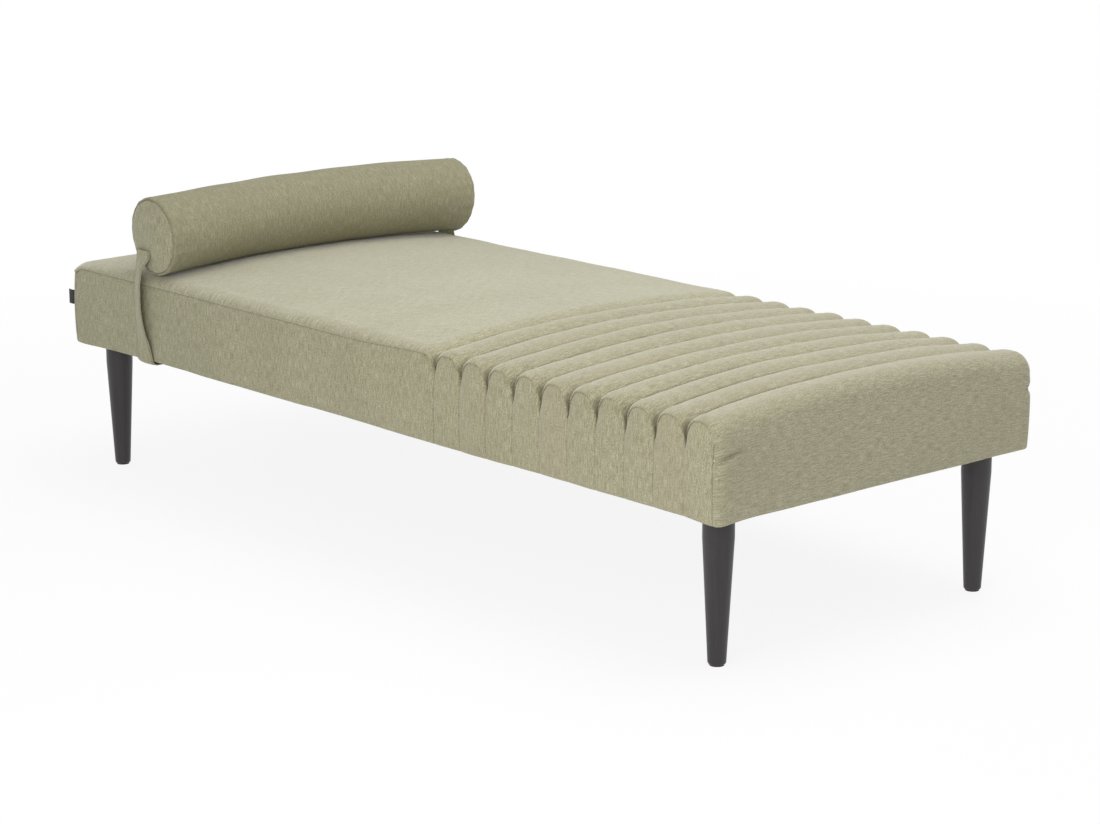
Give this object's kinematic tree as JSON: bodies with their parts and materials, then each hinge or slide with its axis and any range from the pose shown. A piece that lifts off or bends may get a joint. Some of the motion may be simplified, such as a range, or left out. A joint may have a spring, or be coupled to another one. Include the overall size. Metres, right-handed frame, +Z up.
{
  "type": "chaise longue",
  "caption": "Backless upholstered daybed on tapered legs, with a channelled foot half and a bolster held by a strap round the bed.",
  "frame": {"origin": "centre of the bed in plan, on the floor", "axes": "+X along the bed towards the channelled foot end, +Y towards the back long side, +Z up"},
  "size_m": [1.812, 0.739, 0.5772],
  "materials": {
    "upholstery_fabric": "matte",
    "foam": "matte",
    "bolster_filling": "matte",
    "leg_wood": "satin",
    "frame_timber": "matte",
    "plywood": "matte",
    "steel": "satin",
    "glide_plastic": "matte",
    "dust_cloth": "matte",
    "felt": "matte",
    "wadding": "matte",
    "webbing": "matte",
    "label_cloth": "matte"
  },
  "bodies": {
    "root": {"base_foam": "foam", "block_foot_back": "plywood", "block_foot_front": "plywood", "block_head_back": "plywood", "block_head_front": "plywood", "border_back": "upholstery_fabric", "border_channels_back": "upholstery_fabric", "border_channels_front": "upholstery_fabric", "border_front": "upholstery_fabric", "border_head": "upholstery_fabric", "channel_pad_01": "foam", "channel_pad_02": "foam", "channel_pad_03": "foam", "channel_pad_04": "foam", "channel_pad_05": "foam", "channel_pad_06": "foam", "channel_pad_07": "foam", "channel_pad_08": "foam", "channel_pad_09": "foam", "channel_pad_10": "foam", "cover_channel_01": "upholstery_fabric", "cover_channel_02": "upholstery_fabric", "cover_channel_03": "upholstery_fabric", "cover_channel_04": "upholstery_fabric", "cover_channel_05": "upholstery_fabric", "cover_channel_06": "upholstery_fabric", "cover_channel_07": "upholstery_fabric", "cover_channel_08": "upholstery_fabric", "cover_channel_09": "upholstery_fabric", "cover_foot_panel": "upholstery_fabric", "cover_seat_panel": "upholstery_fabric", "cross_rail_1": "frame_timber", "cross_rail_2": "frame_timber", "cross_rail_3": "frame_timber", "dust_cover": "dust_cloth", "felt_pad": "felt", "floor_glides": "glide_plastic", "frame_screws": "steel", "frame_wadding": "wadding", "hem_staples": "steel", "label_tag": "label_cloth", "leg_bolts": "steel", "leg_foot_back": "leg_wood", "leg_foot_front": "leg_wood", "leg_head_back": "leg_wood", "leg_head_front": "leg_wood", "leg_t_nuts": "steel", "rail_back": "frame_timber", "rail_foot": "frame_timber", "rail_front": "frame_timber", "rail_head": "frame_timber", "seat_foam": "foam", "webbing_belts": "webbing"},
    "bolster": {"bolster_core": "bolster_filling", "bolster_sleeve": "upholstery_fabric", "bolster_cap_front": "upholstery_fabric", "bolster_cap_back": "upholstery_fabric", "strap_front": "upholstery_fabric", "strap_under": "upholstery_fabric", "strap_back": "upholstery_fabric"}
  },
  "joints": [
    {"name": "bolster_slide", "type": "slide", "parent": "root", "child": "bolster", "axis": [1, 0, 0], "range_m": [-0.13, 0.7]}
  ]
}
